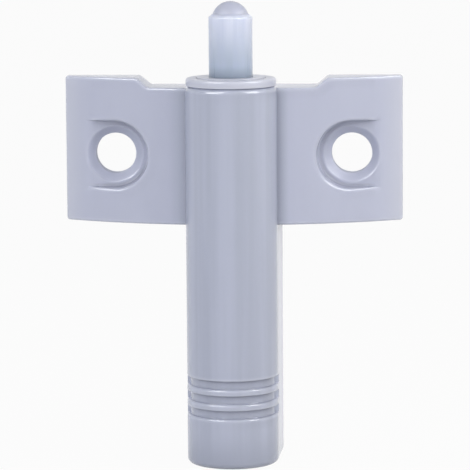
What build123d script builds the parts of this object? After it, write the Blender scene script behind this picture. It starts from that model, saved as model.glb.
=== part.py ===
"""Surface-mounted soft-close bumper for a cabinet door, in millimetres.

The frame: +Z runs up the barrel towards the plunger, the back plane that lies on the
cabinet is y = 0, and the front faces -Y. The origin lies on that plane, midway between
the two screw holes.
"""
from build123d import *
import os
from math import cos, radians, sin, sqrt, tan

# Screw holes
hole_spacing = 32.0
screw_hole_d = 5.5
countersink_d = 7.6
countersink_angle = 90.0

# Recess round each screw hole, open towards the wing's outer edge
recess_floor_t = 3.05
recess_floor_r = 4.5
recess_draft = 4.0

# Wings: one arch over the back plane
wing_span = 45.7
wing_rise = 10.45
wing_drop = 9.2
wing_crown = 7.65
wing_edge_t = 1.4
wing_wall = 1.6
wing_corner_r = 0.6
wing_edge_bevel = 0.35

# The wing's top edge drops beside the barrel
step_drop = 1.23
step_start = 11.3
step_angle = 40.0
step_blend_r = 0.8

# Barrel: a round front on drafted flat sides
bore_d = 10.0
barrel_wall = 1.18
barrel_axis_height = 7.1
barrel_draft = 2.3
barrel_rise = 9.6
barrel_drop = 41.5
barrel_floor_t = 1.5
barrel_foot_r = 0.8
barrel_rim_r = 0.8

# Grip grooves across the barrel's round front
groove_count = 3
groove_pitch = 2.0
groove_h = 1.1
groove_depth = 0.5
groove_lift = 6.85

# Fits
press_clearance = 0.03
running_clearance = 0.08
rod_clearance = 0.05
bore_bottom_gap = 0.3

# Guide sleeve
flange_d = 12.1
flange_t = 1.05
flange_edge_bevel = 0.35
gland_d = 9.1
gland_rise = 0.12
gland_seam_w = 0.15
gland_seam_depth = 0.2
sleeve_wall = 0.97
sleeve_roof_t = 2.2
sleeve_seam_h = 0.25
sleeve_seam_depth = 0.35

# Plunger, which is also the oil cylinder
plunger_d = 5.85
plunger_reach = 10.2
plunger_dome_h = 1.66
plunger_shoulder_bevel = 0.57
plunger_tip_t = 6.3
cylinder_wall = 0.82
cylinder_length = 37.8
cylinder_mouth_wall = 0.6

# Seal stack in the cylinder's mouth
seal_washer_t = 0.5
rod_seal_t = 1.6
rod_guide_t = 2.0
foam_length = 6.0
foam_gap = 0.1

# Cylinder end cap
end_cap_floor_t = 1.5
end_cap_skirt = 4.0

# Piston and rod
rod_d = 1.8
rod_neck_d = 1.2
rod_head_d = 2.2
rod_head_t = 0.5
rod_foot_d = 3.2
rod_foot_t = 0.8
piston_t = 3.0
piston_lift = 0.4
piston_land_t = 0.8
piston_waist_depth = 0.5
piston_port_d = 0.5
piston_port_count = 4
valve_disc_t = 0.3
valve_disc_d = 3.6

# Sleeve end plug
plug_flange_t = 0.8
plug_depth = 3.4
plug_boss_d = 4.2
plug_boss_h = 2.0

# Return spring
spring_wire_d = 0.6
spring_wire_flat_count = 6
spring_mean_d = 5.6
spring_coil_count = 5
spring_seat_gap = 0.02

# Radii and heights that follow from the sizes above
hole_x = hole_spacing / 2
half_span = wing_span / 2
wing_sag = wing_crown - wing_edge_t
wing_arch_r = (half_span**2 + wing_sag**2) / (2 * wing_sag)
bore_r = bore_d / 2
barrel_r = bore_r + barrel_wall
barrel_back_half = (barrel_r + barrel_axis_height * sin(radians(barrel_draft))) / cos(radians(barrel_draft))
sleeve_r = bore_r - press_clearance
sleeve_bore_r = sleeve_r - sleeve_wall
plunger_r = plunger_d / 2
cylinder_bore_r = plunger_r - cylinder_wall
cylinder_mouth_r = plunger_r - cylinder_mouth_wall
rod_r = rod_d / 2
rod_hole_r = rod_r + rod_clearance

flange_top = barrel_rise + flange_t
tip_z = flange_top + plunger_reach
cylinder_end = tip_z - cylinder_length
cylinder_roof = tip_z - plunger_tip_t
end_cap_bottom = cylinder_end - end_cap_floor_t
rod_guide_top = cylinder_end + rod_guide_t
rod_seal_top = rod_guide_top + rod_seal_t
mouth_step = rod_seal_top + seal_washer_t
piston_bottom = mouth_step + piston_lift
piston_top = piston_bottom + piston_t
valve_top = piston_top + valve_disc_t
bore_floor = barrel_floor_t - barrel_drop
plug_bottom = bore_floor + bore_bottom_gap
sleeve_end = plug_bottom + plug_flange_t
plug_top = sleeve_end + plug_depth
rod_foot_bottom = plug_bottom
rod_foot_top = rod_foot_bottom + rod_foot_t

# A disc stands on its lower face, on the axis
disc_align = (Align.CENTER, Align.CENTER, Align.MIN)


def on_barrel_axis(shape):
    """Moves a shape made about Z to the barrel's axis."""
    return Pos(0, -barrel_axis_height, 0) * shape


def turned(*edges):
    """Revolves a half profile, drawn as (radius, height), about the barrel's axis."""
    profile = make_face(Curve() + list(edges))
    return on_barrel_axis(revolve(Plane.XZ * profile, Axis.Z))


def turned_ring(inner_r, outer_r, bottom, top):
    """A plain ring about the barrel's axis."""
    corners = [(inner_r, bottom), (outer_r, bottom), (outer_r, top), (inner_r, top)]
    return turned(Polyline(*corners, close=True))


def turned_disc(radius, bottom, top):
    """A plain disc about the barrel's axis."""
    return on_barrel_axis(Pos(0, 0, bottom) * Cylinder(radius, top - bottom, align=disc_align))


# Mounting bracket
def barrel():
    """The D-shaped barrel, before it is bored."""
    draft = radians(barrel_draft)
    touch_x = barrel_r * cos(draft)
    touch_y = -barrel_axis_height - barrel_r * sin(draft)
    front_y = -barrel_axis_height - barrel_r
    outline = Curve() + [
        Polyline((-touch_x, touch_y), (-barrel_back_half, 0), (barrel_back_half, 0), (touch_x, touch_y)),
        ThreePointArc((touch_x, touch_y), (0, front_y), (-touch_x, touch_y)),
    ]
    solid = Pos(0, 0, -barrel_drop) * extrude(make_face(outline), barrel_drop + barrel_rise)
    solid = fillet(front_edges(solid.faces().sort_by(Axis.Z)[0]), barrel_foot_r)
    solid = fillet(front_edges(solid.faces().sort_by(Axis.Z)[-1]), barrel_rim_r)
    return solid - rear_corners()


def rear_corners():
    """What is cut off behind the axis, so that the barrel is round above the wings' low top edge."""
    ledge_z = wing_rise - step_drop
    block = Pos(0, -barrel_axis_height, ledge_z) * Box(
        4 * barrel_r, 2 * barrel_axis_height, barrel_rise, align=(Align.CENTER, Align.MIN, Align.MIN)
    )
    return block - turned_disc(barrel_r, ledge_z - barrel_rise, ledge_z + 2 * barrel_rise)


def front_edges(face):
    """A face's edges, apart from the one on the back plane."""
    return face.edges().sort_by(Axis.Y)[:-1]


def wing_profile(inset):
    """The arch seen from above, with its front face moved in by inset."""
    radius = wing_arch_r - inset
    edge_t = wing_crown - wing_arch_r + sqrt(radius**2 - half_span**2)
    crown_t = wing_crown - inset
    return make_face(Curve() + [
        Polyline((-half_span, -edge_t), (-half_span, 0), (half_span, 0), (half_span, -edge_t)),
        ThreePointArc((half_span, -edge_t), (0, -crown_t), (-half_span, -edge_t)),
    ])


def wing_prism(inset):
    """The arch through the wing's whole height."""
    return Pos(0, 0, -wing_drop) * extrude(wing_profile(inset), wing_drop + wing_rise)


def wing_outline():
    """The wings' outline seen from the front, with the step in the top edge."""
    low = wing_rise - step_drop
    step_end = step_start + step_drop / tan(radians(step_angle))
    right = [
        (step_start, low),
        (step_end, wing_rise),
        (half_span, wing_rise),
        (half_span, -wing_drop),
    ]
    left = [(-x, z) for x, z in reversed(right)]
    face = make_face(Polyline(*right, *left, close=True))
    for x, z in right[:2] + left[-2:]:
        face = fillet(face.vertices().sort_by_distance((x, z))[0], step_blend_r)
    for x, z in right[2:] + left[:2]:
        face = fillet(face.vertices().sort_by_distance((x, z))[0], wing_corner_r)
    return Plane.XZ * face


def wings():
    """Both wings as one arched slab with a bevelled front edge."""
    slab = wing_prism(0) & extrude(wing_outline(), 2 * wing_crown, both=True)
    arch = slab.faces().filter_by(GeomType.CYLINDER).sort_by(SortBy.AREA)[-1]
    return chamfer(arch.edges(), wing_edge_bevel)


def recess_plan(radius):
    """The U-shaped recess seen from the front: round at the hole, open to the outside."""
    return Circle(radius) + Pos(half_span / 2, 0) * Rectangle(half_span, 2 * radius)


def recess_cut(side):
    """The drafted recess in front of its floor."""
    plan = Plane.XZ.offset(recess_floor_t) * Pos(hole_x, 0) * recess_plan(recess_floor_r)
    cut = extrude(plan, wing_crown, taper=-recess_draft)
    return cut if side > 0 else mirror(cut, Plane.YZ)


def recess_boss(side):
    """The material that stays behind and round the recess."""
    plan = Plane.XZ * Pos(hole_x, 0) * recess_plan(recess_floor_r + wing_wall)
    boss = extrude(plan, wing_crown, taper=-recess_draft)
    return boss if side > 0 else mirror(boss, Plane.YZ)


def screw_hole(side):
    """A through hole with a countersink that opens at the recess floor."""
    hole_r = screw_hole_d / 2
    head_r = countersink_d / 2
    sink_depth = (head_r - hole_r) / tan(radians(countersink_angle / 2))
    half_profile = make_face(Polyline(
        (0, 0),
        (hole_r, 0),
        (hole_r, recess_floor_t - sink_depth),
        (head_r, recess_floor_t),
        (0, recess_floor_t),
        close=True,
    ))
    cutter = revolve(Plane.XZ * half_profile, Axis.Z)
    return Pos(side * hole_x, 0, 0) * Rot(90, 0, 0) * cutter


def back_pocket(side):
    """The core behind the thick part of one wing, open on the back plane."""
    inner = barrel_back_half + wing_wall
    outer = half_span - wing_wall
    top = wing_rise - step_drop - wing_wall
    bottom = -wing_drop + wing_wall
    window = Pos((inner + outer) / 2, (top + bottom) / 2) * Rectangle(outer - inner, top - bottom)
    block = extrude(Plane.XZ * window, wing_crown)
    block = block if side > 0 else mirror(block, Plane.YZ)
    return (block & wing_prism(wing_wall)) - recess_boss(side)


def grip_groove(index):
    """One groove across the barrel's front half, with an end wall at the axis plane."""
    bottom = groove_lift - barrel_drop + index * groove_pitch
    ring = turned_ring(barrel_r - groove_depth, barrel_r + barrel_wall, bottom, bottom + groove_h)
    front = Pos(0, -barrel_axis_height, bottom) * Box(
        4 * barrel_r, 2 * barrel_r, groove_h, align=(Align.CENTER, Align.MAX, Align.MIN)
    )
    return ring & front


def mounting_bracket():
    solid = barrel() + wings()
    for side in (-1, 1):
        solid -= recess_cut(side)
        solid -= screw_hole(side)
        solid -= back_pocket(side)
    for index in range(groove_count):
        solid -= grip_groove(index)
    return solid - turned_disc(bore_r, bore_floor, barrel_rise + wing_crown)


# Damper cartridge: what stays in the bracket
def guide_sleeve():
    """Sleeve with a bevelled flange; a raised gland in it guides the plunger."""
    flange_r = flange_d / 2
    gland_r = gland_d / 2
    gland_top = flange_top + gland_rise
    seam_floor = flange_top - gland_seam_depth
    hole_r = plunger_r + running_clearance
    roof_bottom = flange_top - sleeve_roof_t
    neck_r = sleeve_r - sleeve_seam_depth
    corners = [
        (hole_r, roof_bottom),
        (hole_r, gland_top),
        (gland_r, gland_top),
        (gland_r, seam_floor),
        (gland_r + gland_seam_w, seam_floor),
        (gland_r + gland_seam_w, flange_top),
        (flange_r - flange_edge_bevel, flange_top),
        (flange_r, flange_top - flange_edge_bevel),
        (flange_r, barrel_rise),
        (neck_r, barrel_rise),
        (neck_r, barrel_rise - sleeve_seam_h),
        (sleeve_r, barrel_rise - sleeve_seam_h),
        (sleeve_r, sleeve_end),
        (sleeve_bore_r, sleeve_end),
        (sleeve_bore_r, roof_bottom),
    ]
    return turned(Polyline(*corners, close=True))


def sleeve_end_plug():
    """Plug in the sleeve's lower end: a flange, a spring boss and a seat for the rod's foot."""
    flange_r = sleeve_r
    body_r = sleeve_bore_r - press_clearance
    foot_r = rod_foot_d / 2 + press_clearance
    hole_r = rod_r + press_clearance
    boss_r = plug_boss_d / 2
    boss_top = plug_top + plug_boss_h
    corners = [
        (foot_r, plug_bottom),
        (flange_r, plug_bottom),
        (flange_r, sleeve_end),
        (body_r, sleeve_end),
        (body_r, plug_top),
        (boss_r, plug_top),
        (boss_r, boss_top),
        (hole_r, boss_top),
        (hole_r, rod_foot_top),
        (foot_r, rod_foot_top),
    ]
    return turned(Polyline(*corners, close=True))


def piston_rod():
    """Rod with a foot in the end plug, a neck through the piston and a riveted head."""
    neck_r = rod_neck_d / 2
    head_r = rod_head_d / 2
    foot_r = rod_foot_d / 2
    corners = [
        (0, rod_foot_bottom),
        (foot_r, rod_foot_bottom),
        (foot_r, rod_foot_top),
        (rod_r, rod_foot_top),
        (rod_r, piston_bottom),
        (neck_r, piston_bottom),
        (neck_r, valve_top),
        (head_r, valve_top),
        (neck_r, valve_top + rod_head_t),
        (0, valve_top + rod_head_t),
    ]
    return turned(Polyline(*corners, close=True))


def piston():
    """Piston with two lands, a waist between them and ports for the oil."""
    outer_r = cylinder_bore_r - running_clearance
    waist_r = outer_r - piston_waist_depth
    hole_r = rod_neck_d / 2 + press_clearance
    corners = [
        (hole_r, piston_bottom),
        (outer_r, piston_bottom),
        (outer_r, piston_bottom + piston_land_t),
        (waist_r, piston_bottom + piston_land_t),
        (waist_r, piston_top - piston_land_t),
        (outer_r, piston_top - piston_land_t),
        (outer_r, piston_top),
        (hole_r, piston_top),
    ]
    solid = turned(Polyline(*corners, close=True))
    port_circle_r = (hole_r + waist_r) / 2
    port = Cylinder(piston_port_d / 2, piston_t, align=disc_align)
    ports = PolarLocations(port_circle_r, piston_port_count) * port
    for cut in ports:
        solid -= on_barrel_axis(Pos(0, 0, piston_bottom) * cut)
    return solid


def valve_disc():
    hole_r = rod_neck_d / 2 + press_clearance
    return turned_ring(hole_r, valve_disc_d / 2, piston_top, valve_top)


def return_spring():
    """Helical spring between the end plug and the end cap; flats on the wire keep its mesh light."""
    wire_r = spring_wire_d / 2
    low = plug_top + spring_seat_gap + wire_r
    high = end_cap_bottom - spring_seat_gap - wire_r
    helix = Helix((high - low) / spring_coil_count, high - low, spring_mean_d / 2)
    section = Plane(helix @ 0, z_dir=helix % 0) * RegularPolygon(wire_r, spring_wire_flat_count)
    return on_barrel_axis(Pos(0, 0, low) * sweep(section, helix, is_frenet=True))


# Damper cartridge: what moves with the plunger
def plunger_cylinder():
    """Closed tube with a domed tip; its mouth is stepped for the seal stack."""
    ledge_z = tip_z - plunger_dome_h
    dome_base_r = plunger_r - plunger_shoulder_bevel
    dome_r = (dome_base_r**2 + plunger_dome_h**2) / (2 * plunger_dome_h)
    corners = [
        (0, cylinder_roof),
        (cylinder_bore_r, cylinder_roof),
        (cylinder_bore_r, mouth_step),
        (cylinder_mouth_r, mouth_step),
        (cylinder_mouth_r, cylinder_end),
        (plunger_r, cylinder_end),
        (plunger_r, ledge_z - plunger_shoulder_bevel),
        (dome_base_r, ledge_z),
    ]
    tip = (0, tip_z)
    dome = RadiusArc(corners[-1], tip, -dome_r)
    return turned(Polyline(*corners), dome, Line(tip, corners[0]))


def foam_compensator():
    """Foam rod against the cylinder's closed end."""
    return turned_disc(cylinder_bore_r - foam_gap, cylinder_roof - foam_length, cylinder_roof)


def seal_washer():
    return turned_ring(rod_hole_r, cylinder_mouth_r - press_clearance, rod_seal_top, mouth_step)


def rod_seal():
    """Rubber ring whose two lips point at the oil."""
    outer_r = cylinder_mouth_r - press_clearance
    lip_depth = rod_seal_t / 2
    lip_t = (outer_r - rod_hole_r) / 4
    groove_r = (outer_r + rod_hole_r) / 2
    corners = [
        (rod_hole_r, rod_guide_top),
        (outer_r, rod_guide_top),
        (outer_r, rod_seal_top),
        (outer_r - lip_t, rod_seal_top),
        (groove_r, rod_seal_top - lip_depth),
        (rod_hole_r + lip_t, rod_seal_top),
        (rod_hole_r, rod_seal_top),
    ]
    return turned(Polyline(*corners, close=True))


def rod_guide():
    return turned_ring(rod_hole_r, cylinder_mouth_r - press_clearance, cylinder_end, rod_guide_top)


def cylinder_end_cap():
    """Cup over the cylinder's open end; it slides in the sleeve and carries the spring."""
    outer_r = sleeve_bore_r - running_clearance
    pocket_r = plunger_r + press_clearance
    corners = [
        (rod_hole_r, end_cap_bottom),
        (outer_r, end_cap_bottom),
        (outer_r, cylinder_end + end_cap_skirt),
        (pocket_r, cylinder_end + end_cap_skirt),
        (pocket_r, cylinder_end),
        (rod_hole_r, cylinder_end),
    ]
    return turned(Polyline(*corners, close=True))


pieces = [
    mounting_bracket,
    guide_sleeve,
    sleeve_end_plug,
    piston_rod,
    piston,
    valve_disc,
    return_spring,
    plunger_cylinder,
    foam_compensator,
    seal_washer,
    rod_seal,
    rod_guide,
    cylinder_end_cap,
]

os.makedirs("parts", exist_ok=True)
for make_piece in pieces:
    export_step(make_piece(), f"parts/{make_piece.__name__}.step")
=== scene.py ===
# %% [markdown]
# # A soft-close cabinet door bumper
#
# This small part is screwed to the inside of a cabinet. A grey moulded bracket holds a damper
# cartridge, and the door pushes the milky plunger in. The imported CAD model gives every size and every
# moving body, so this lesson only dresses it: finer meshes with the soft edges of a moulding, and
# finishes made from shader nodes. All lengths below are written in millimetres and turned into
# Blender's metres when a mesh is made.

from math import acos, cos, pi, radians, sin, sqrt, tan

import bmesh
import bpy
import numpy as np
from mathutils import Matrix, Vector


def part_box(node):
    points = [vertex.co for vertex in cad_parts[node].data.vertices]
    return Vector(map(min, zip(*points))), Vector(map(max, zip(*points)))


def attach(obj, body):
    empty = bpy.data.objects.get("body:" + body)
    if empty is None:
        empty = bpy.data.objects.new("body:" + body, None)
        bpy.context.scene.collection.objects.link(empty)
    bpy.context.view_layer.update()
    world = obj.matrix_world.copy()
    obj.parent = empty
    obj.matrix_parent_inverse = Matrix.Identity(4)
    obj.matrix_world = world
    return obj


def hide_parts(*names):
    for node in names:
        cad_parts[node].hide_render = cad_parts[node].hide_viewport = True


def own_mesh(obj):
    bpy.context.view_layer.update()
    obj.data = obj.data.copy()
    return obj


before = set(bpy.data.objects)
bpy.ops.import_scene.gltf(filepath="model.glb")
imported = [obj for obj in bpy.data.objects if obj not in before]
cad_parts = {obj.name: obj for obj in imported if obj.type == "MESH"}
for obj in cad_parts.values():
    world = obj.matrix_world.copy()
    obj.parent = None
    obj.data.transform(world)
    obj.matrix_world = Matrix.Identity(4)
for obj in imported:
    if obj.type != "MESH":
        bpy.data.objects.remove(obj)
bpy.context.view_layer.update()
MM = 0.001


def box_mm(node):
    """The lowest and highest corner of a CAD node, in millimetres."""
    low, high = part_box(node)
    return np.array(low) / MM, np.array(high) / MM


bracket_low, bracket_high = box_mm("mounting_bracket")
sleeve_low, sleeve_high = box_mm("guide_sleeve")
plunger_low, plunger_high = box_mm("plunger_cylinder")
axis_y = (sleeve_low[1] + sleeve_high[1]) / 2
print("bracket", bracket_low.round(2), bracket_high.round(2), "barrel axis at y", round(axis_y, 2))

# %% [markdown]
# ## The camera
#
# A catalogue picture is taken from far away with a long lens, so that parallel edges stay nearly
# parallel. The camera here stands 460 mm in front of the part, a little to its right and a little
# above it. Its axes are worked out from three angles, and the focal length from how many pixels a
# millimetre takes up at the target.

# %% The camera
photo_px = 470
pixels_per_mm = 7.33
view_distance = 460
camera_yaw = radians(3.64)
camera_pitch = radians(7.56)
camera_roll = radians(-0.41)
camera_target = Vector((-0.038, 0, -11.504))
near_clip = 10


def add_camera():
    """A long lens that looks at the target from the right and from above."""
    back = Vector((
        sin(camera_yaw) * cos(camera_pitch),
        -cos(camera_yaw) * cos(camera_pitch),
        sin(camera_pitch),
    ))
    level_right = Vector((cos(camera_yaw), sin(camera_yaw), 0))
    level_up = back.cross(level_right)
    right = cos(camera_roll) * level_right + sin(camera_roll) * level_up
    up = cos(camera_roll) * level_up - sin(camera_roll) * level_right
    eye = (camera_target + back * view_distance) * MM
    lens = bpy.data.cameras.new("camera")
    lens.lens = lens.sensor_width * pixels_per_mm * view_distance / photo_px
    lens.clip_start = near_clip * MM
    camera = bpy.data.objects.new("camera", lens)
    camera.matrix_world = Matrix((right, up, back)).transposed().to_4x4()
    camera.matrix_world.translation = eye
    bpy.context.scene.collection.objects.link(camera)
    bpy.context.scene.camera = camera
    return camera


camera = add_camera()
print("lens", round(camera.data.lens, 1), "mm, eye", [round(v, 3) for v in camera.matrix_world.translation])

# %% [markdown]
# ## Meshes from loops
#
# Most of the part is a form that one closed loop of points sweeps out: a turned sleeve, a barrel that
# is the same all the way up, a wing whose surface runs from the screw hole out to its edge. A mesh of
# quads that joins loop to loop gives full control of where the edges lie, and it shades evenly. One
# helper makes such a mesh, and another rounds the corners of an outline.

# %% Loops into meshes
weld_gap = 0.0005


def clean(mesh):
    """Welds points that fall together and turns every face outwards."""
    work = bmesh.new()
    work.from_mesh(mesh)
    bmesh.ops.remove_doubles(work, verts=work.verts, dist=weld_gap * MM)
    bmesh.ops.dissolve_degenerate(work, edges=work.edges, dist=weld_gap * MM)
    bmesh.ops.recalc_face_normals(work, faces=work.faces)
    work.to_mesh(mesh)
    work.free()


def skin(name, loops, wrap=False):
    """A mesh that joins each loop of points to the next; wrap joins the last to the first."""
    loops = np.array(loops)
    rows, count = loops.shape[:2]
    ring = np.arange(count)
    after = np.roll(ring, -1)
    faces = []
    for row in range(rows if wrap else rows - 1):
        low = row * count
        high = (row + 1) % rows * count
        faces += np.stack([low + ring, low + after, high + after, high + ring], axis=1).tolist()
    if not wrap:
        faces += [ring[::-1].tolist(), (ring + (rows - 1) * count).tolist()]
    mesh = bpy.data.meshes.new(name)
    mesh.from_pydata((loops.reshape(-1, 3) * MM).tolist(), [], faces)
    clean(mesh)
    piece = bpy.data.objects.new(name, mesh)
    bpy.context.scene.collection.objects.link(piece)
    return piece


print("points within", weld_gap, "mm are welded")

# %% Outlines with rounded corners
def spin(vector, angle):
    """A flat vector, turned anticlockwise."""
    x, y = vector
    return np.array([x * cos(angle) - y * sin(angle), x * sin(angle) + y * cos(angle)])


def softened(corners, inset=0.0, spacing=0.5, arc_steps=5):
    """Points round a closed outline of (x, y, radius) corners, moved inwards by inset."""
    spots = np.array([corner[:2] for corner in corners], dtype=float)
    ahead = np.roll(spots, -1, axis=0) - spots
    lengths = np.hypot(ahead[:, 0], ahead[:, 1])
    along = ahead / lengths[:, None]
    inward = np.stack([-along[:, 1], along[:, 0]], axis=1)
    arcs = []
    for index, (_, _, radius) in enumerate(corners):
        into, out_of = along[index - 1], along[index]
        turn = np.arctan2(into[0] * out_of[1] - into[1] * out_of[0], into @ out_of)
        bisector = (inward[index - 1] + inward[index]) / (1 + inward[index - 1] @ inward[index])
        spot = spots[index] + inset * bisector
        bend = max(radius - inset * np.sign(turn), 0.0) if radius else 0.0
        side = np.sign(turn) * bend
        centre = spot - into * bend * tan(abs(turn) / 2) + inward[index - 1] * side
        angles = np.linspace(0, turn, arc_steps + 1) if radius else np.zeros(1)
        spokes = -inward[index - 1] * side
        arcs.append([centre + spin(spokes, angle) for angle in angles])
    points = []
    for index, arc in enumerate(arcs):
        points += arc
        start, stop = arc[-1], arcs[(index + 1) % len(arcs)][0]
        steps = max(int(round(lengths[index] / spacing)), 1)
        points += [start + (stop - start) * step / steps for step in range(1, steps)]
    return np.array(points)


# %% A piece's place in the frame
def finished(piece, body, slot, *replaced, sharp=30):
    """Smooth shading with crisp creases, and the piece's place in the frame."""
    piece.data.shade_smooth()
    piece.data.set_sharp_from_angle(angle=radians(sharp))
    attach(piece, body)
    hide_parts(*replaced)
    size = [round(side / MM, 2) for side in piece.dimensions]
    print(piece.name, "size", size, "faces", len(piece.data.polygons))
    return piece


# %% [markdown]
# ## The barrel
#
# The barrel is D-shaped: its front is half a cylinder and its sides run back, slightly drafted, to the
# mounting plane. A cylinder primitive would miss the flat sides, so each level is an outline of its
# own, and the foot, the rim and the three finger grooves come from levels that step in. A groove only
# goes round the front half, because its inner points are moved while the flat sides stay, and so it
# ends in a short slope.

# %% The barrel
barrel_r = axis_y - bracket_low[1]
barrel_foot = bracket_low[2]
barrel_top = 9.6
ledge_z = 9.22
barrel_draft = radians(2.3)
barrel_floor_t = 1.5
bore_r = 5.0
foot_r = 0.8
rim_r = 0.8
rim_steps = 12
groove_count = 3
groove_pitch = 2.0
groove_h = 1.1
groove_depth = 0.5
groove_lift = 6.85
groove_end_run = 0.45
ridge_top_r = 0.35
ridge_foot_r = 0.2
groove_root_r = 0.1
front_steps = 96
side_steps = 8
level_spacing = 2.0


def quarter_round(radius, steps=6):
    """Insets and rises round a quarter circle, from an end face to the side."""
    turns = np.linspace(0, pi / 2, steps + 1)
    return [(radius * (1 - sin(turn)), radius * (1 - cos(turn))) for turn in turns]


def back_half(radius):
    """Half the barrel's width on the back plane, where its front has this radius."""
    return (radius - axis_y * sin(barrel_draft)) / cos(barrel_draft)


def barrel_level(z, inset=0.0, groove=0.0, tube=False):
    """One level of the barrel, from its right side round the front to the left and the back."""
    radius = barrel_r - inset
    reach = radius - groove
    turns = np.linspace(0, pi, front_steps + 1)
    front = [(reach * cos(turn), axis_y - reach * sin(turn)) for turn in turns]
    wall_y = axis_y + groove_end_run
    left = np.linspace((-radius, wall_y), (-back_half(radius), 0), side_steps + 1)
    right = left[::-1] * (-1, 1)
    back = np.linspace(left[-1], right[0], side_steps + 1)[1:-1]
    rear = [*left, *back, *right]
    if tube:
        turns = np.linspace(pi, 2 * pi, len(rear) + 2)[1:-1]
        rear = [(radius * cos(turn), axis_y - radius * sin(turn)) for turn in turns]
    return [(x, y, z) for x, y in [*front, *rear]]


def groove_levels(bottom):
    """Levels through one groove: rounded ridge edges and a small root radius."""
    top = bottom + groove_h
    root = quarter_round(groove_root_r)
    levels = [(bottom - rise, inset) for inset, rise in reversed(quarter_round(ridge_top_r))]
    levels += [(bottom + rise, groove_depth - inset) for inset, rise in root]
    levels += [(top - rise, groove_depth - inset) for inset, rise in reversed(root)]
    levels += [(top + rise, inset) for inset, rise in quarter_round(ridge_foot_r)]
    return levels


def barrel():
    """The barrel with its grooves and its bore, as one closed mesh."""
    levels = [(barrel_foot + rise, inset, 0.0) for inset, rise in quarter_round(foot_r)]
    for index in range(groove_count):
        bottom = barrel_foot + groove_lift + index * groove_pitch
        levels += [(z, 0.0, depth) for z, depth in groove_levels(bottom)]
    rim = [(barrel_top - rise, inset) for inset, rise in reversed(quarter_round(rim_r, rim_steps))]
    plain = int((rim[0][0] - levels[-1][0]) / level_spacing)
    levels += [(z, 0.0, 0.0) for z in np.linspace(levels[-1][0], rim[0][0], plain)[1:-1]]
    ledge_inset = rim_r - sqrt(rim_r**2 - (rim_r - barrel_top + ledge_z)**2)
    levels += [(z, inset, 0.0) for z, inset in rim if z < ledge_z]
    levels += [(ledge_z, ledge_inset, 0.0, tube) for tube in (False, True)]
    levels += [(z, inset, 0.0, True) for z, inset in rim if z > ledge_z]
    loops = [barrel_level(*level) for level in levels]
    axis = np.array((0, axis_y, 0))
    spokes = np.array(loops[-1]) - axis
    spokes[:, 2] = 0
    mouth = axis + spokes * bore_r / np.linalg.norm(spokes, axis=1)[:, None]
    for z in (barrel_top, barrel_foot + barrel_floor_t):
        loops.append(mouth + (0, 0, z))
    return skin("barrel", loops)


barrel_piece = barrel()
print("barrel faces", len(barrel_piece.data.polygons))

# %% [markdown]
# ## The wings
#
# Each wing is a slab whose front is part of a wide arch. A countersunk screw hole stands in a U-shaped
# recess that runs out to the side, where its flat floor meets the falling arch. Booleans would cut
# such a recess, but they leave knife edges. Here rays go out from the screw hole to the outline, and
# every loop sits where the surface turns: the hole, the countersink, the floor, the drafted wall with
# its rounded lip, the arch and the rounded edge. The loops close on themselves round the back.

# %% The wings' surfaces
half_span = bracket_high[0]
wing_rise = bracket_high[2]
wing_drop = 9.2
wing_crown = 7.65
wing_edge_t = 1.4
wing_corner_r = 0.4
wing_root_x = 5.6
step_drop = 1.23
step_start = 11.3
step_angle = radians(40)
step_blend_r = 0.8
floor_t = 3.05
wing_sag = wing_crown - wing_edge_t
arch_r = (half_span**2 + wing_sag**2) / (2 * wing_sag)


def arch(x):
    """Height of the wings' front above the back plane."""
    return wing_crown - arch_r + np.sqrt(arch_r**2 - x**2)


def soft_least(first, second, blend):
    """The lesser of two heights, with the crease between them rounded off."""
    share = np.clip(0.5 + (second - first) / (2 * blend), 0, 1)
    return second + (first - second) * share - blend * share * (1 - share)


def wing_outline(inset=0.0):
    """The right wing seen from the front, with the step in its top edge."""
    low = wing_rise - step_drop
    step_end = step_start + step_drop / tan(step_angle)
    corners = [
        (wing_root_x, -wing_drop, 0),
        (half_span, -wing_drop, wing_corner_r),
        (half_span, wing_rise, wing_corner_r),
        (step_end, wing_rise, step_blend_r),
        (step_start, low, step_blend_r),
        (wing_root_x, low, 0),
    ]
    return softened(corners, inset)


def curve(start, corner, stop, steps=4):
    """Points of a soft turn from start to stop, pulled towards the corner between them."""
    shares = np.linspace(0, 1, steps + 1)
    return [start * (1 - s)**2 + 2 * corner * s * (1 - s) + stop * s**2 for s in shares]


mouth_x = sqrt(arch_r**2 - (arch_r - wing_crown + floor_t)**2)
print("arch radius", round(arch_r, 2), "recess floor meets the arch at x", round(mouth_x, 2))

# %% One wing's recess
hole_x = 16.0
hole_r = 2.75
sink_r = 3.8
sink_edge_r = 0.2
floor_r = 4.5
floor_fillet_r = 0.5
fillet_share = 0.3
recess_draft = radians(4)
lip_r = 0.4
lip_share = 0.45
mouth_blend = 0.3
back_bevel = 0.1
loop_gap = 0.015
settle_rounds = 8
tiny = 1e-6


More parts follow.
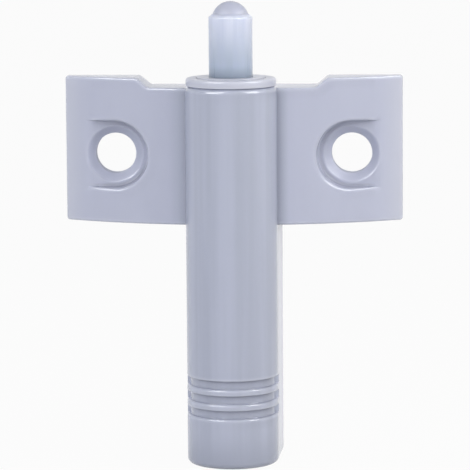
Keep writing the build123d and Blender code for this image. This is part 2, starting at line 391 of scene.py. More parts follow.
def recess_rows(rays):
    """Each ray's reach and height at every turn from the hole's back edge to beyond the recess's lip."""
    across, upward = rays[:, 0], np.abs(rays[:, 1])
    ones = np.ones(len(rays))

    def recess_reach(radius):
        """How far each ray goes to the recess's U-shaped line of this radius."""
        to_side = radius / np.maximum(upward, tiny)
        to_mouth = (mouth_x - hole_x) / np.maximum(across, tiny)
        return np.where(across > 0, np.minimum(to_side, to_mouth), radius)

    def surface(reach):
        """Height of the recess floor, or of the arch where that is lower."""
        return soft_least(floor_t * ones, arch(hole_x + across * reach), mouth_blend)

    def brow(reach):
        """Height of the arch beside the recess, which blends into the floor where the wall runs out."""
        low = surface(reach)
        return low + (arch(hole_x + across * reach) - low) * np.clip(wall_h / lip_r, 0, 1)

    floor_end = recess_reach(floor_r)
    rim = floor_end
    for _ in range(settle_rounds):
        wall_h = np.maximum(arch(hole_x + across * rim) - floor_t, 0)
        rim = recess_reach(floor_r + wall_h * tan(recess_draft))
    lip = np.minimum(lip_r, lip_share * wall_h)
    fillet = np.minimum(floor_fillet_r, fillet_share * wall_h)
    inner, root = (np.stack([reach, surface(reach)], axis=1) for reach in (floor_end - fillet, floor_end))
    crest, outward = (np.stack([reach, brow(reach)], axis=1) for reach in (rim, rim + lip))
    wall = crest - root
    wall /= np.maximum(np.linalg.norm(wall, axis=1), tiny)[:, None]
    profile = curve(inner, root, root + wall * fillet[:, None])
    profile += curve(crest - wall * lip[:, None], crest, outward)

    sink_low = floor_t - sink_r + hole_r
    sink = sink_r * ones
    for _ in range(settle_rounds):
        sink = hole_r + surface(sink) - sink_low
    edge = np.stack([sink, surface(sink)], axis=1)
    beyond = np.stack([sink + sink_edge_r, surface(sink + sink_edge_r)], axis=1)
    hole = ((hole_r + back_bevel, 0), (hole_r, back_bevel), (hole_r, sink_low))
    rows = [np.outer(ones, spot) for spot in hole]
    rows += curve(edge - sink_edge_r * np.array((sqrt(0.5), sqrt(0.5))), edge, beyond)
    for row in profile:
        reach = np.maximum(row[:, 0], rows[-1][:, 0] + loop_gap)
        height = row[:, 1] + surface(reach) - surface(row[:, 0])
        rows.append(np.stack([reach, height], axis=1))
    return rows


# %% One wing
wing_edge_r = 0.3
arch_loops = 10


def wing_loops():
    """Loops of the right wing from the hole's back edge out to the outline and round the back."""
    outline = wing_outline()
    rays = outline - (hole_x, 0)
    rays /= np.linalg.norm(rays, axis=1)[:, None]
    ones = np.ones(len(rays))
    loops = [lift(rays * row[:, :1] + (hole_x, 0), row[:, 1]) for row in recess_rows(rays)]

    start = loops[-1][:, [0, 2]]
    edge = wing_outline(wing_edge_r)
    for step in range(1, arch_loops + 1):
        plan = start + (edge - start) * step / arch_loops
        loops.append(lift(plan, front_height(plan)))
    for inset, drop in quarter_round(wing_edge_r)[1:]:
        plan = wing_outline(inset)
        loops.append(lift(plan, arch(plan[:, 0]) - drop))
    loops.append(lift(outline, back_bevel * ones))
    loops.append(lift(wing_outline(back_bevel), 0 * ones))
    return loops


def front_height(plan):
    """Height of the arch, softened where the recess floor runs out into it."""
    x, z = plan.T
    plain = arch(x)
    share = np.clip((floor_r + lip_r - np.abs(z)) / lip_r, 0, 1)
    share *= np.clip((x - mouth_x) / mouth_blend + 1, 0, 1)
    return plain + (soft_least(floor_t, plain, mouth_blend) - plain) * share


def lift(plan, height):
    """Points of a plan seen from the front, raised off the back plane."""
    return np.stack([plan[:, 0], -height, plan[:, 1]], axis=1)


def wing(side):
    """One wing as a closed mesh; the left one is the mirror image."""
    loops = np.array(wing_loops()) * (side, 1, 1)
    return skin("wing", loops, wrap=True)


wings = [wing(side) for side in (1, -1)]
print("wing faces", [len(piece.data.polygons) for piece in wings])

# %% [markdown]
# ## The bracket in one piece
#
# The barrel and the wings are one moulding, so a Boolean modifier joins them, and another cuts the
# pockets that a moulder cores out behind the thick part of each wing. The exact solver keeps the mesh
# closed. A pocket follows the arch at the wall's thickness and goes round the boss of the recess.

# %% Joining meshes
def combined(target, others, operation):
    """The target after Boolean modifiers with the other meshes, which are then removed."""
    for other in others:
        modifier = target.modifiers.new(operation.lower(), "BOOLEAN")
        modifier.operation = operation
        modifier.solver = "EXACT"
        modifier.object = other
    bpy.context.view_layer.update()
    ready = target.evaluated_get(bpy.context.evaluated_depsgraph_get())
    mesh = bpy.data.meshes.new_from_object(ready)
    target.modifiers.clear()
    target.data = mesh
    for other in others:
        bpy.data.objects.remove(other)
    return target


# %% Joining and coring the bracket
wing_wall = 1.6
boss_r = floor_r + wing_wall
boss_steps = 32
ceiling_steps = 96
behind = 1.0


def pocket_window(boss_reach):
    """The pocket seen from the front: a window with the recess's boss left standing in it."""
    inner = back_half(barrel_r) + wing_wall
    outer = half_span - wing_wall
    top = wing_rise - step_drop - wing_wall
    bottom = wing_wall - wing_drop
    turns = np.linspace(-pi / 2, -3 * pi / 2, boss_steps + 1)
    boss = [(hole_x + boss_reach * cos(turn), boss_reach * sin(turn)) for turn in turns]
    beside = [(outer, boss_reach), (outer, top), (inner, top), (inner, bottom), (outer, bottom)]
    return [(outer, -boss_reach), *boss, *beside]


def pocket(side):
    """What is cored out behind one wing."""
    loops = []
    for depth in (-behind, wing_crown - wing_wall):
        window = np.array(pocket_window(boss_r + depth * tan(recess_draft)))
        loops.append(lift(window, depth * np.ones(len(window))) * (side, 1, 1))
    block = skin("pocket", loops)
    sweep = np.linspace(-half_span, half_span, ceiling_steps + 1)
    ceiling = wing_crown - arch_r + np.sqrt((arch_r - wing_wall)**2 - sweep**2)
    section = [(x, -height) for x, height in zip(sweep, ceiling)]
    section += [(half_span, 2 * behind), (-half_span, 2 * behind)]
    ends = (-2 * wing_drop, 2 * wing_rise)
    under_arch = skin("under_arch", [[(x, y, z) for x, y in section] for z in ends])
    return combined(block, [under_arch], "INTERSECT")


bracket = combined(barrel_piece, wings, "UNION")
bracket = combined(bracket, [pocket(side) for side in (1, -1)], "DIFFERENCE")
bracket.name = "moulded_bracket"
clean(bracket.data)
finished(bracket, "housing", "bracket_grey", "mounting_bracket")

# %% [markdown]
# ## The collar and the plunger
#
# Both are turned about the barrel's axis, as their real moulds are. A Screw modifier could spin a
# profile, but a loop for each profile point does the same in two lines and keeps the corner radii in
# one list. A raised gland in the collar guides the plunger. The plunger has a narrow sloping
# shoulder and a domed tip, and it is hollow, because light comes through its wall.

# %% Turned pieces
turn_steps = 128


def turned(name, profile):
    """A solid of revolution about the barrel's axis, from a closed (radius, height) profile."""
    turns = np.linspace(0, 2 * pi, turn_steps, endpoint=False)
    loops = [[(r * cos(turn), axis_y + r * sin(turn), z) for turn in turns] for r, z in profile]
    return skin(name, loops, wrap=True)


def arc_points(centre_z, radius, start, stop, steps):
    """Points of an arc about the axis, from one angle above the level to another."""
    turns = np.linspace(start, stop, steps + 1)
    return [(radius * cos(turn), centre_z + radius * sin(turn), 0) for turn in turns]


# %% The collar
flange_r = sleeve_high[0]
gland_r = 4.55
gland_rise = 0.12
gland_edge_r = 0.1
gland_seam_w = 0.1
gland_seam_depth = 0.12
flange_top = sleeve_high[2] - gland_rise
flange_edge_r = 0.35
running_clearance = 0.08
plunger_r = plunger_high[0]
sleeve_r = 4.97
sleeve_bore_r = 4.0
sleeve_roof_t = 2.2
seam_h = 0.25
seam_depth = 0.35
fine_r = 0.08
collar_spacing = 2.0


def collar():
    """The cartridge's sleeve, whose flange covers the barrel's mouth."""
    guide_r = plunger_r + running_clearance
    neck_r = sleeve_r - seam_depth
    roof = flange_top - sleeve_roof_t
    corners = [
        (sleeve_bore_r, sleeve_low[2], fine_r),
        (sleeve_r, sleeve_low[2], fine_r),
        (sleeve_r, barrel_top - seam_h, fine_r),
        (neck_r, barrel_top - seam_h, fine_r),
        (neck_r, barrel_top, fine_r),
        (flange_r, barrel_top, fine_r),
        (flange_r, flange_top, flange_edge_r),
        (gland_r + gland_seam_w, flange_top, gland_edge_r),
        (gland_r + gland_seam_w, flange_top - gland_seam_depth, 0),
        (gland_r, flange_top - gland_seam_depth, 0),
        (gland_r, flange_top + gland_rise, gland_edge_r),
        (guide_r, flange_top + gland_rise, fine_r),
        (guide_r, roof, fine_r),
        (sleeve_bore_r, roof, fine_r),
    ]
    return turned("damper_collar", softened(corners, spacing=collar_spacing))


finished(collar(), "housing", "collar_grey", "guide_sleeve")

# %% The plunger
tip_z = plunger_high[2]
dome_h = 1.66
shoulder_w = 0.57
shoulder_h = 0.42
shoulder_soft_r = 0.25
tip_t = 6.3
cylinder_wall = 0.82
cylinder_mouth_wall = 0.6
mouth_step = -12.85
dome_steps = 24
plunger_spacing = 1.5


def plunger():
    """A closed tube with a sloping shoulder and a domed tip; its mouth is stepped for the seals."""
    ledge = tip_z - dome_h
    base_r = plunger_r - shoulder_w
    dome_r = (base_r**2 + dome_h**2) / (2 * dome_h)
    roof = tip_z - tip_t
    end = plunger_low[2]
    cylinder_bore_r = plunger_r - cylinder_wall
    cylinder_mouth_r = plunger_r - cylinder_mouth_wall
    body = [
        (cylinder_bore_r, roof, fine_r),
        (cylinder_bore_r, mouth_step, 0),
        (cylinder_mouth_r, mouth_step, 0),
        (cylinder_mouth_r, end, fine_r),
        (plunger_r, end, fine_r),
        (plunger_r, ledge - shoulder_h, shoulder_soft_r),
        (base_r, ledge, shoulder_soft_r),
    ]
    dome = arc_points(tip_z - dome_r, dome_r, acos(base_r / dome_r), pi / 2, dome_steps)
    corners = [(0, roof, 0), *body, *dome[1:]]
    return turned("plunger_tube", softened(corners, spacing=plunger_spacing))


finished(plunger(), "plunger", "plunger_milky", "plunger_cylinder")

# %% [markdown]
# ## The return spring
#
# The spring sits out of sight between the end plug and the plunger's cap, and pushes the plunger out
# again. Its end coils are closed, so that they seat flat.

# %% The return spring
spring_low, spring_high = box_mm("return_spring")
wire_r = 0.3
coil_r = spring_high[0] - wire_r
coil_count = 7
closed_coils = 1.0
spring_ease = 0.15
steps_per_coil = 48
wire_steps = 12


def spring_height(share):
    """How far up the wire's centre is after a share of its turns: flat, then rising, then flat."""
    closed = closed_coils / coil_count
    middle = np.clip((share - closed) / (1 - 2 * closed), 0, 1)
    eased = middle * middle * (3 - 2 * middle)
    return eased * spring_ease + middle * (1 - spring_ease)


def return_spring():
    """A wire of round section swept along the helix."""
    low = spring_low[2] + wire_r
    high = spring_high[2] - wire_r
    closed_rise = 2 * wire_r * closed_coils
    shares = np.linspace(0, 1, coil_count * steps_per_coil + 1)
    turns = 2 * pi * coil_count * shares
    heights = low + (high - low - 2 * closed_rise) * spring_height(shares)
    heights += closed_rise * np.clip(shares * coil_count / closed_coils, 0, 1)
    heights += closed_rise * np.clip((shares - 1) * coil_count / closed_coils + 1, 0, 1)
    round_wire = np.linspace(0, 2 * pi, wire_steps, endpoint=False)
    loops = []
    for turn, height in zip(turns, heights):
        reach = coil_r + wire_r * np.cos(round_wire)
        rise = height + wire_r * np.sin(round_wire)
        loops.append(np.stack([reach * cos(turn), axis_y + reach * sin(turn), rise], axis=1))
    return skin("coil_spring", loops)


spring = finished(return_spring(), "housing", "spring_steel", "return_spring")
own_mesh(spring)

# %% [markdown]
# ## Shader sums in Python
#
# Node trees get hard to read when every sum is three lines of code. This class wraps a socket, so that
# an expression such as 1 - mask adds the Math nodes by itself. Its node method makes every other node:
# the settings are set first, because they can change which sockets a node has.

# %% A socket that does sums
clearance_samples = 8


def pick(sockets, key):
    """A socket by its number, its identifier or its name."""
    if isinstance(key, int):
        return sockets[key]
    return next(socket for socket in sockets if key in (socket.identifier, socket.name))


class Wire:
    """An output socket, on which Python's operators add Math nodes."""

    def __init__(self, tree, socket=None):
        self.tree = tree
        self.socket = socket

    def node(self, kind, settings=None, inputs=None, out=0):
        """Adds a node with its settings, then the values or links of its sockets."""
        made = self.tree.nodes.new(kind)
        for name, value in (settings or {}).items():
            setattr(made, name, value)
        for name, value in (inputs or {}).items():
            socket = pick(made.inputs, name)
            if isinstance(value, Wire):
                self.tree.links.new(value.socket, socket)
            else:
                socket.default_value = value
        return Wire(self.tree, pick(made.outputs, out) if made.outputs else None)

    def math(self, operation, first, second=0.0):
        """A Math node on two values or wires."""
        return self.node("ShaderNodeMath", {"operation": operation}, {0: first, 1: second})

    def __add__(self, other):
        return self.math("ADD", self, other)

    def __sub__(self, other):
        return self.math("SUBTRACT", self, other)

    def __rsub__(self, other):
        return self.math("SUBTRACT", other, self)

    def __mul__(self, other):
        return self.math("MULTIPLY", self, other)

    def __pow__(self, other):
        return self.math("POWER", self, other)

    __radd__ = __add__
    __rmul__ = __mul__

    def most(self, other):
        return self.math("MAXIMUM", self, other)

    def least(self, other):
        return self.math("MINIMUM", self, other)

    def magnitude(self):
        return self.math("ABSOLUTE", self)

    def between(self, low, high):
        """A colour between two others, by this value."""
        inputs = {"Factor_Float": self, "A_Color": low, "B_Color": high}
        return self.node("ShaderNodeMix", {"data_type": "RGBA"}, inputs, "Result_Color")

    def noise(self, place, grain_mm, detail=2.0):
        """A cloudy value round 0.5, with grains of about this size."""
        inputs = {"Vector": place, "Scale": 1 / (grain_mm * MM), "Detail": detail}
        return self.node("ShaderNodeTexNoise", None, inputs, "Fac")

    def ramp(self, low, high):
        """0 up to low, 1 from high on, and a smooth rise between them."""
        inputs = {"Value": self, "From Min": low, "From Max": high}
        return self.node("ShaderNodeMapRange", {"interpolation_type": "SMOOTHSTEP"}, inputs)

    def clearance(self, reach_mm, inside=False, lean=(0, 0, 0)):
        """1 where no wall of the piece is near and less in creases, or, inside it, less along its edges.

        A lean tilts the way that the surface looks, so that creases on one side count for more.
        """
        facing = self.node("ShaderNodeNewGeometry", out="Normal")
        leaning = self.node("ShaderNodeVectorMath", {"operation": "ADD"}, {0: facing, 1: lean})
        looking = self.node("ShaderNodeVectorMath", {"operation": "NORMALIZE"}, {0: leaning})
        settings = {"samples": clearance_samples, "only_local": True, "inside": inside}
        inputs = {"Normal": looking, "Distance": reach_mm * MM}
        return self.node("ShaderNodeAmbientOcclusion", settings, inputs, "AO")

    def stretched(self, place, scale):
        """A place whose axes are scaled, so that a texture is drawn out along one of them."""
        return self.node("ShaderNodeMapping", None, {"Vector": place, "Scale": scale})

    def bump(self, height, depth_mm):
        """A normal from a height, as deep as it is in millimetres."""
        return self.node("ShaderNodeBump", None, {"Height": height, "Distance": depth_mm * MM})


# %% Colours and finishes
def srgb(red, green, blue):
    """A colour as a screen shows it, from 0 to 255, in the linear values that shaders use."""
    shares = [value / 255 for value in (red, green, blue)]
    linear = [s / 12.92 if s <= 0.04045 else ((s + 0.055) / 1.055)**2.4 for s in shares]
    return (*linear, 1.0)


def finish(name, recipe, *settings):
    """A material whose Principled shader gets what the recipe returns."""
    material = bpy.data.materials.new(name)
    material.use_nodes = True
    tree = material.node_tree
    tree.nodes.clear()
    bench = Wire(tree)
    place = bench.node("ShaderNodeTexCoord", out="Object")
    shader = bench.node("ShaderNodeBsdfPrincipled", None, recipe(bench, place, *settings))
    bench.node("ShaderNodeOutputMaterial", None, {"Surface": shader})
    print(name, "nodes", len(tree.nodes))
    return material


def wear(name, material):
    """Puts a finish on a piece or a CAD node."""
    worn = bpy.data.objects[name].data.materials
    worn.clear()
    worn.append(material)


# %% [markdown]
# ## Moulded plastic
#
# The bracket and the collar are glossy mouldings. A single colour would look like a computer toy, so
# noise shifts the colour a little along the flow of the melt and draws faint lines up the barrel, the
# gloss varies in soft patches, and a very low orange-peel bump breaks up the highlights. Ambient
# Occlusion nodes find where the form turns and paint light and shade into the colour: creases get
# darker with painted shade, and edges, looked at from inside the piece, get paler with painted light.
# In the bracket's creases the normal leans towards the left lamps and up, so that walls which face away
# from there get more painted shade. All of it is small, because the real part is clean: the dark
# creases and pale edges are painted shade and painted light.

# %% What both mouldings share
edge_light_reach = 0.6
patch_grain = 5.0
peel_grain = 0.55
fine_grain = 0.12
patch_gloss = 0.06
fine_gloss = 0.02
peel_share = 0.8
peel_depth = 0.002
flow_stretch = (1, 1, 0.25)
flow_grain = 3.0
flow_share = 0.6
fine_detail = 3.0


def moulded(bench, place, grey, open_sky, crease, edge, roughness):
    """Moulded plastic with faint orange peel, painted shade in its creases and painted light along its
    edges.
    """
    patches = bench.noise(place, patch_grain)
    peel = bench.noise(place, peel_grain)
    grain = bench.noise(place, fine_grain)
    # The crease colour is painted shade, and the edge colour is painted light along the edges.
    creased = open_sky.between(crease, grey)
    return {
        "Base Color": bench.clearance(edge_light_reach, inside=True).between(edge, creased),
        "Roughness": patches * patch_gloss + grain * fine_gloss + roughness,
        "Normal": bench.bump(peel * peel_share + grain * (1 - peel_share), peel_depth),
        "Subsurface Weight": 0.35,
        "Subsurface Radius": (1.0, 1.0, 1.1),
        "Subsurface Scale": 1.0 * MM,
        "IOR": 1.5,
    }


def melt_flow(bench, place):
    """A cloudy value, drawn out along the way that the melt ran."""
    drift = bench.noise(bench.stretched(place, flow_stretch), flow_grain, fine_detail)
    clouds = bench.noise(place, patch_grain)
    return drift * flow_share + clouds * (1 - flow_share)


def in_mm(bench, place):
    """The three coordinates of a place, in millimetres."""
    return [bench.node("ShaderNodeSeparateXYZ", None, {0: place}, axis) * (1 / MM) for axis in "XYZ"]


# %% The bracket's colour
# Painted light in the bracket's colour: the paler flat sides are a painted reflection, the darker foot is
# painted shade, and the paler wings and wing tips are painted light through thin plastic. The lines up the
# barrel and the melt flow are the plastic's own tone.
barrel_greys = srgb(173, 178, 196), srgb(182, 187, 206)
flank_reflection_grey = srgb(191, 194, 217)
foot_shade_grey = srgb(162, 167, 185)
wing_flow_and_glow_greys = srgb(181, 185, 205), srgb(190, 194, 213)
wing_tip_glow_grey = srgb(197, 200, 214)
draw_stretch = (1, 1, 0.03)
draw_grain = 2.0
streak_range = (0.3, 0.7)
flank_reflection_y = (axis_y + groove_end_run, axis_y + 2)
foot_z = (-42, -36)
wing_glow_start_x = (6.2, 9)
wing_tip_glow_x = (19.5, half_span + 1)


def bracket_grey(bench, place, out, y, z):
    """Deeper on the thick barrel, paler on its flat sides as a painted reflection, darker at its foot as
    painted shade, and paler as painted light where the wings get thin.
    """
    lines = bench.noise(bench.stretched(place, draw_stretch), draw_grain, fine_detail)
    front = lines.ramp(*streak_range).between(*barrel_greys)
    flank_reflected = y.ramp(*flank_reflection_y).between(front, flank_reflection_grey)
    barrel_grey = z.ramp(*foot_z).between(foot_shade_grey, flank_reflected)
    thin = melt_flow(bench, place).between(*wing_flow_and_glow_greys)
    wing_grey = out.ramp(*wing_tip_glow_x).between(thin, wing_tip_glow_grey)
    return out.ramp(*wing_glow_start_x).between(barrel_grey, wing_grey)


# %% The bracket's finish
# The crease colour is painted shade and the edge colour is painted light.
bracket_crease_shade = srgb(116, 119, 137)
bracket_edge_light = srgb(216, 219, 232)
bracket_roughness = 0.08
recess_dulling = 0.42
crease_shade_reach = 1.6
light_lean = (-0.6, -0.3, 0.5)
sink_blend = 0.2
fillet_start = (sink_r + sink_edge_r, floor_r - 0.3)
fillet_stop = (floor_r, floor_r + 0.1)
fillet_fade_x = (hole_x + 0.5, 19.5)
fillet_shade = 0.45
fillet_shade_drop = (0.5, 3)
recess_mouth_x = (17, 19.5)
groove_end_x = (4.8, 5.7)
below_wings_z = (-10.5, -9.5)


def recess_zones(out, z):
    """1 in the countersink, and 1 on the fillet at the foot of the recess's wall."""
    beside = out - hole_x
    from_hole = (beside * beside + z * z)**0.5
    inward = beside.least(0)
    from_slot = (inward * inward + z * z)**0.5
    sink = 1 - from_hole.ramp(sink_r - sink_blend, sink_r)
    fillet = from_slot.ramp(*fillet_start) * (1 - from_slot.ramp(*fillet_stop))
    return sink, fillet * (1 - out.ramp(*fillet_fade_x))


def bracket_plastic(bench, place):
    """Light grey gloss that is dull in the countersinks and along the recesses' walls, with painted shade
    in its creases and on the lower part of each recess's fillet, and painted light along its edges.
    """
    x, y, z = in_mm(bench, place)
    out = x.magnitude()
    grey = bracket_grey(bench, place, out, y, z)
    sink, fillet = recess_zones(out, z)
    # Painted shade: the leaning AO darkens the creases, except at the recess mouths and the groove ends,
    # and the lower fillets get more of it.
    groove_ends = out.ramp(*groove_end_x) * (1 - z.ramp(*below_wings_z))
    unshaded = out.ramp(*recess_mouth_x).most(groove_ends)
    shaded = fillet * (0 - z).ramp(*fillet_shade_drop) * fillet_shade
    open_sky = bench.clearance(crease_shade_reach, lean=light_lean).most(unshaded) * (1 - shaded)
    roughness = (sink + fillet) * recess_dulling + bracket_roughness
    return moulded(bench, place, grey, open_sky, bracket_crease_shade, bracket_edge_light, roughness)


wear("moulded_bracket", finish("bracket_plastic", bracket_plastic))

# %% The collar's finish
collar_greys = srgb(189, 192, 208), srgb(197, 200, 215)
collar_crease_shade = srgb(150, 151, 165)
collar_edge_light = srgb(208, 210, 223)
collar_roughness = 0.26
seam_shade_reach = 0.6


def collar_plastic(bench, place):
    """A paler grey than the bracket's and less glossy, with painted shade in its seams and painted light
    along its edges.
    """
    grey = melt_flow(bench, place).between(*collar_greys)
    # Painted shade in the seams and creases, and painted light along the edges.
    open_sky = bench.clearance(seam_shade_reach)
    return moulded(bench, place, grey, open_sky, collar_crease_shade, collar_edge_light, collar_roughness)


wear("damper_collar", finish("collar_plastic", collar_plastic))

# %% [markdown]
# ## Milky plastic
#
# The plunger lets some light through. A glass-like shader would show the parts inside it, and the real
# tube is too cloudy for that. Subsurface scattering softens the light instead, and the colour paints the
# rest as painted light and shade: pale over the solid tip, darker over the hollow, and darkest at the
# foot, where the collar shuts the light out. Faint streaks run along the tube, and the dome is duller
# than its side and painted darker, as shade where less light falls on its top.

# %% The plunger's finish
# Painted light and shade: pale where light comes through the solid tip, darker over the hollow, shadow at
# the foot and shade on the dome. The streaks are the plastic's own tone.
hollow_tone = srgb(170, 182, 200)
solid_tone = srgb(217, 222, 239)
streak_tone = srgb(184, 193, 216)
shadow_tone = srgb(140, 151, 168)
dome_shade_tone = srgb(183, 187, 206)
streak_stretch = (1, 1, 0.04)
streak_grain = 1.0
streak_weight = 0.45
streak_gloss = 0.1
streak_share = 0.6
streak_depth = 0.003
plunger_roughness = 0.24
dome_dulling = 0.2
dome_foot_z = tip_z - dome_h
solid_z = (flange_top + 1, dome_foot_z - shoulder_h)
shadow_z = (flange_top, flange_top + 2)
dome_z = (dome_foot_z - 0.3, dome_foot_z + 0.1)


def milky_plastic(bench, place):
    """Milky plastic with streaks along it, painted light and shade in its colour, and a dull dome with
    painted shade.
    """
    height = in_mm(bench, place)[2]
    streaks = bench.noise(bench.stretched(place, streak_stretch), streak_grain, fine_detail)
    grain = bench.noise(place, fine_grain)
    dome = height.ramp(*dome_z)
    wall = height.ramp(*solid_z).between(hollow_tone, solid_tone)
    streaked = (streaks.ramp(*streak_range) * streak_weight).between(wall, streak_tone)
    side = height.ramp(*shadow_z).between(shadow_tone, streaked)
    return {
        "Base Color": dome.between(side, dome_shade_tone),
        "Roughness": plunger_roughness + streaks * streak_gloss + dome * dome_dulling,
        "Normal": bench.bump(streaks * streak_share + grain * (1 - streak_share), streak_depth),
        "Subsurface Weight": 0.7,
        "Subsurface Radius": (1.0, 1.05, 1.2),
        "Subsurface Scale": 1.2 * MM,
        "IOR": 1.5,
    }


wear("plunger_tube", finish("plunger_plastic", milky_plastic))

# %% [markdown]
# ## The parts inside
#
# The piston, its rod, the seals and the plugs are CAD solids that are right as they are. They only
# need finishes: satin acetal, ground steel with fine turning lines, black rubber and closed-cell foam.
# Noise that is squeezed along the axis gives the turning lines, and a Voronoi texture the foam's cells.

# %% Acetal and steel
turning_stretch = (0.02, 0.02, 1)
acetal_whites = srgb(226, 225, 220), srgb(236, 235, 231)
acetal_cloud = 2.0
acetal_ring = 0.15
acetal_roughness = 0.38
acetal_ring_gloss = 0.12
acetal_ring_depth = 0.004
rod_greys = srgb(206, 206, 208), srgb(182, 183, 186)
wire_greys = srgb(178, 178, 182), srgb(146, 147, 152)
steel_haze = 1.5
steel_line = 0.06
steel_roughness = 0.22
steel_line_gloss = 0.16
steel_line_depth = 0.003


def acetal(bench, place):
    """Natural acetal: waxy, off-white, with faint turning rings."""
    rings = bench.noise(bench.stretched(place, turning_stretch), acetal_ring)
    return {
        "Base Color": bench.noise(place, acetal_cloud).between(*acetal_whites),
        "Roughness": acetal_roughness + rings * acetal_ring_gloss,
        "Normal": bench.bump(rings, acetal_ring_depth),
        "Subsurface Weight": 0.2,
        "Subsurface Scale": 0.5 * MM,
    }


def ground_steel(bench, place, bright, dull):
    """Steel with fine lines round it."""
    lines = bench.noise(bench.stretched(place, turning_stretch), steel_line)
    return {
        "Base Color": bench.noise(place, steel_haze).between(bright, dull),
        "Metallic": 1.0,
        "Roughness": steel_roughness + lines * steel_line_gloss,
        "Normal": bench.bump(lines, steel_line_depth),
    }


acetal_finish = finish("natural_acetal", acetal)
rod_finish = finish("ground_rod_steel", ground_steel, *rod_greys)
for node in ("sleeve_end_plug", "piston", "valve_disc", "rod_guide", "cylinder_end_cap"):
    wear(node, acetal_finish)
for node in ("piston_rod", "seal_washer"):
    wear(node, rod_finish)
wear("coil_spring", finish("drawn_spring_wire", ground_steel, *wire_greys))

# %% Rubber and foam
rubber_blacks = srgb(24, 24, 25), srgb(52, 52, 54)
bloom_grain = 0.8
bloom_detail = 4.0
bloom_contrast = 3
bloom_gloss = 0.25
rubber_roughness = 0.5
rubber_grain = 0.08
rubber_depth = 0.006
foam_greys = srgb(96, 98, 106), srgb(136, 138, 148)
foam_cell = 0.35
foam_roughness = 0.75
foam_gloss = 0.2
foam_depth = 0.12


def rubber(bench, place):
    """Black nitrile rubber with a dusty bloom."""
    bloom = bench.noise(place, bloom_grain, bloom_detail)
    return {
        "Base Color": (bloom**bloom_contrast).between(*rubber_blacks),
        "Roughness": rubber_roughness + bloom * bloom_gloss,
        "Normal": bench.bump(bench.noise(place, rubber_grain), rubber_depth),
    }


def closed_foam(bench, place):
    """Foam with small closed cells."""
    inputs = {"Vector": place, "Scale": 1 / (foam_cell * MM)}
    cells = bench.node("ShaderNodeTexVoronoi", None, inputs, "Distance")
    return {
        "Base Color": cells.between(*foam_greys),
        "Roughness": foam_roughness + cells * foam_gloss,
        "Normal": bench.bump(cells, foam_depth),
    }


wear("rod_seal", finish("nitrile_rubber", rubber))
wear("foam_compensator", finish("cell_foam", closed_foam))

# %% [markdown]
# ## The floor and the world
#
# The part stands on a pale floor in a plain light that falls off towards the ceiling. A catalogue
# picture has a white ground, so the floor and the world show white to the camera and to reflections,
# while the light that falls on the part stays at a plain level. The floor keeps a share of its real
# shading, so that the part's shadow still shows. It lies a hair below the barrel's foot, because two
# faces in one plane would show through each other.

# %% The floor
white = (1, 1, 1, 1)
floor_paint = (0.5, 0.5, 0.5, 1)
floor_size = 6000
floor_white = 0.95
floor_gap = 0.02


def seen_directly(bench):
    """1 for rays from the camera, mirrors and glass, which see the white ground."""
    paths = ("Is Camera Ray", "Is Glossy Ray", "Is Transmission Ray")
    camera_ray, glossy_ray, clear_ray = (bench.node("ShaderNodeLightPath", out=path) for path in paths)
    return camera_ray.most(glossy_ray).most(clear_ray)


def add_floor():
    """A pale floor under the barrel's foot."""
    half = floor_size / 2
    level = barrel_foot - floor_gap
    corners = [(-half, -half), (half, -half), (half, half), (-half, half)]
    mesh = bpy.data.meshes.new("floor")
    mesh.from_pydata([(x * MM, y * MM, level * MM) for x, y in corners], [], [range(4)])
    material = bpy.data.materials.new("pale_floor")
    material.use_nodes = True
    tree = material.node_tree
    tree.nodes.clear()
    bench = Wire(tree)
    paint = bench.node("ShaderNodeBsdfDiffuse", None, {"Color": floor_paint})
    glow = bench.node("ShaderNodeEmission", None, {"Color": white, "Strength": 1.0})
    share = seen_directly(bench) * floor_white
    mixed = bench.node("ShaderNodeMixShader", None, {0: share, 1: paint, 2: glow})
    bench.node("ShaderNodeOutputMaterial", None, {"Surface": mixed})
    mesh.materials.append(material)
    floor = bpy.data.objects.new("floor", mesh)
    bpy.context.scene.collection.objects.link(floor)
    print("floor at z", round(level, 2), "mm")


add_floor()

# %% The world
sky_level = 0.69
ceiling_fall = 0.4


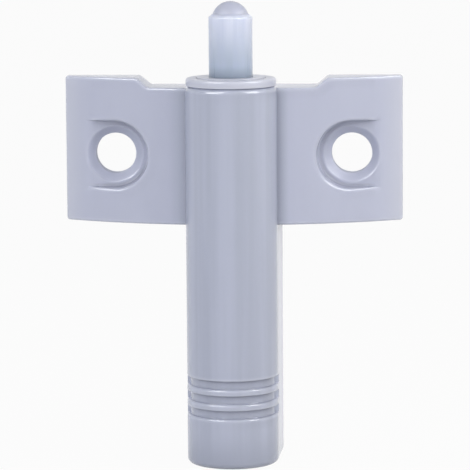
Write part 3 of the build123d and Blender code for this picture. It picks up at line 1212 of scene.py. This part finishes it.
def add_world():
    """White to look at, and a plain light on the part that falls off towards the ceiling."""
    world = bpy.data.worlds.new("studio")
    world.use_nodes = True
    tree = world.node_tree
    tree.nodes.clear()
    bench = Wire(tree)
    way = bench.node("ShaderNodeTexCoord", out="Generated")
    up = bench.node("ShaderNodeSeparateXYZ", None, {0: way}, "Z").most(0)
    light = sky_level * (1 - up * ceiling_fall)
    shown = seen_directly(bench)
    strength = shown + light * (1 - shown)
    sky = bench.node("ShaderNodeBackground", None, {"Color": white, "Strength": strength})
    bench.node("ShaderNodeOutputWorld", None, {"Surface": sky})
    bpy.context.scene.world = world
    print("world nodes", len(tree.nodes))


add_world()

# %% [markdown]
# ## The lamps
#
# Each wing is lit from its own side, because the barrel stands between it and the lamps of the other
# side, and a key lamp near the camera lights the front. These soft lamps are kept out of reflections,
# so that the barrel looks even from end to end. Two more lamps show in reflections alone: they draw the
# highlights along the edges. The left lamps are slightly cool and the right ones slightly warm.

# %% The lamps
lamp_distance = 250
neutral = (1, 1, 1)
cool = (0.93, 0.96, 1)
warm = (1, 0.98, 0.92)


def add_lamp(name, turn, height, size, watts, tint=neutral, glint=False, distance=lamp_distance):
    """A soft box that points at the part from two angles in degrees; a glint only shows as a highlight."""
    level = cos(radians(height))
    direction = Vector((sin(radians(turn)) * level, -cos(radians(turn)) * level, sin(radians(height))))
    light = bpy.data.lights.new(name, "AREA")
    light.shape = "RECTANGLE"
    light.size, light.size_y = (side * MM for side in size)
    light.energy = watts
    light.color = tint
    lamp = bpy.data.objects.new(name, light)
    lamp.location = (camera_target + direction * distance) * MM
    lamp.rotation_euler = direction.to_track_quat("Z", "Y").to_euler()
    lamp.visible_diffuse = not glint
    lamp.visible_glossy = glint
    bpy.context.scene.collection.objects.link(lamp)
    print(name, watts, "W")


add_lamp("left_lamp", turn=-64, height=4, size=(200, 160), watts=0.12, tint=cool)
add_lamp("left_side", turn=-95, height=6, size=(160, 160), watts=0.08, tint=cool)
add_lamp("left_glint", turn=-42, height=38, size=(170, 160), watts=0.75, glint=True)
add_lamp("right_lamp", turn=70, height=38, size=(200, 120), watts=0.175, tint=warm)
add_lamp("right_glint", turn=66, height=38, size=(130, 160), watts=0.6, glint=True)
add_lamp("right_fill", turn=57, height=8, size=(200, 200), watts=0.18, tint=warm, distance=300)
add_lamp("key", turn=-1, height=18, size=(260, 200), watts=0.21)
bpy.context.scene.view_settings.view_transform = "Standard"
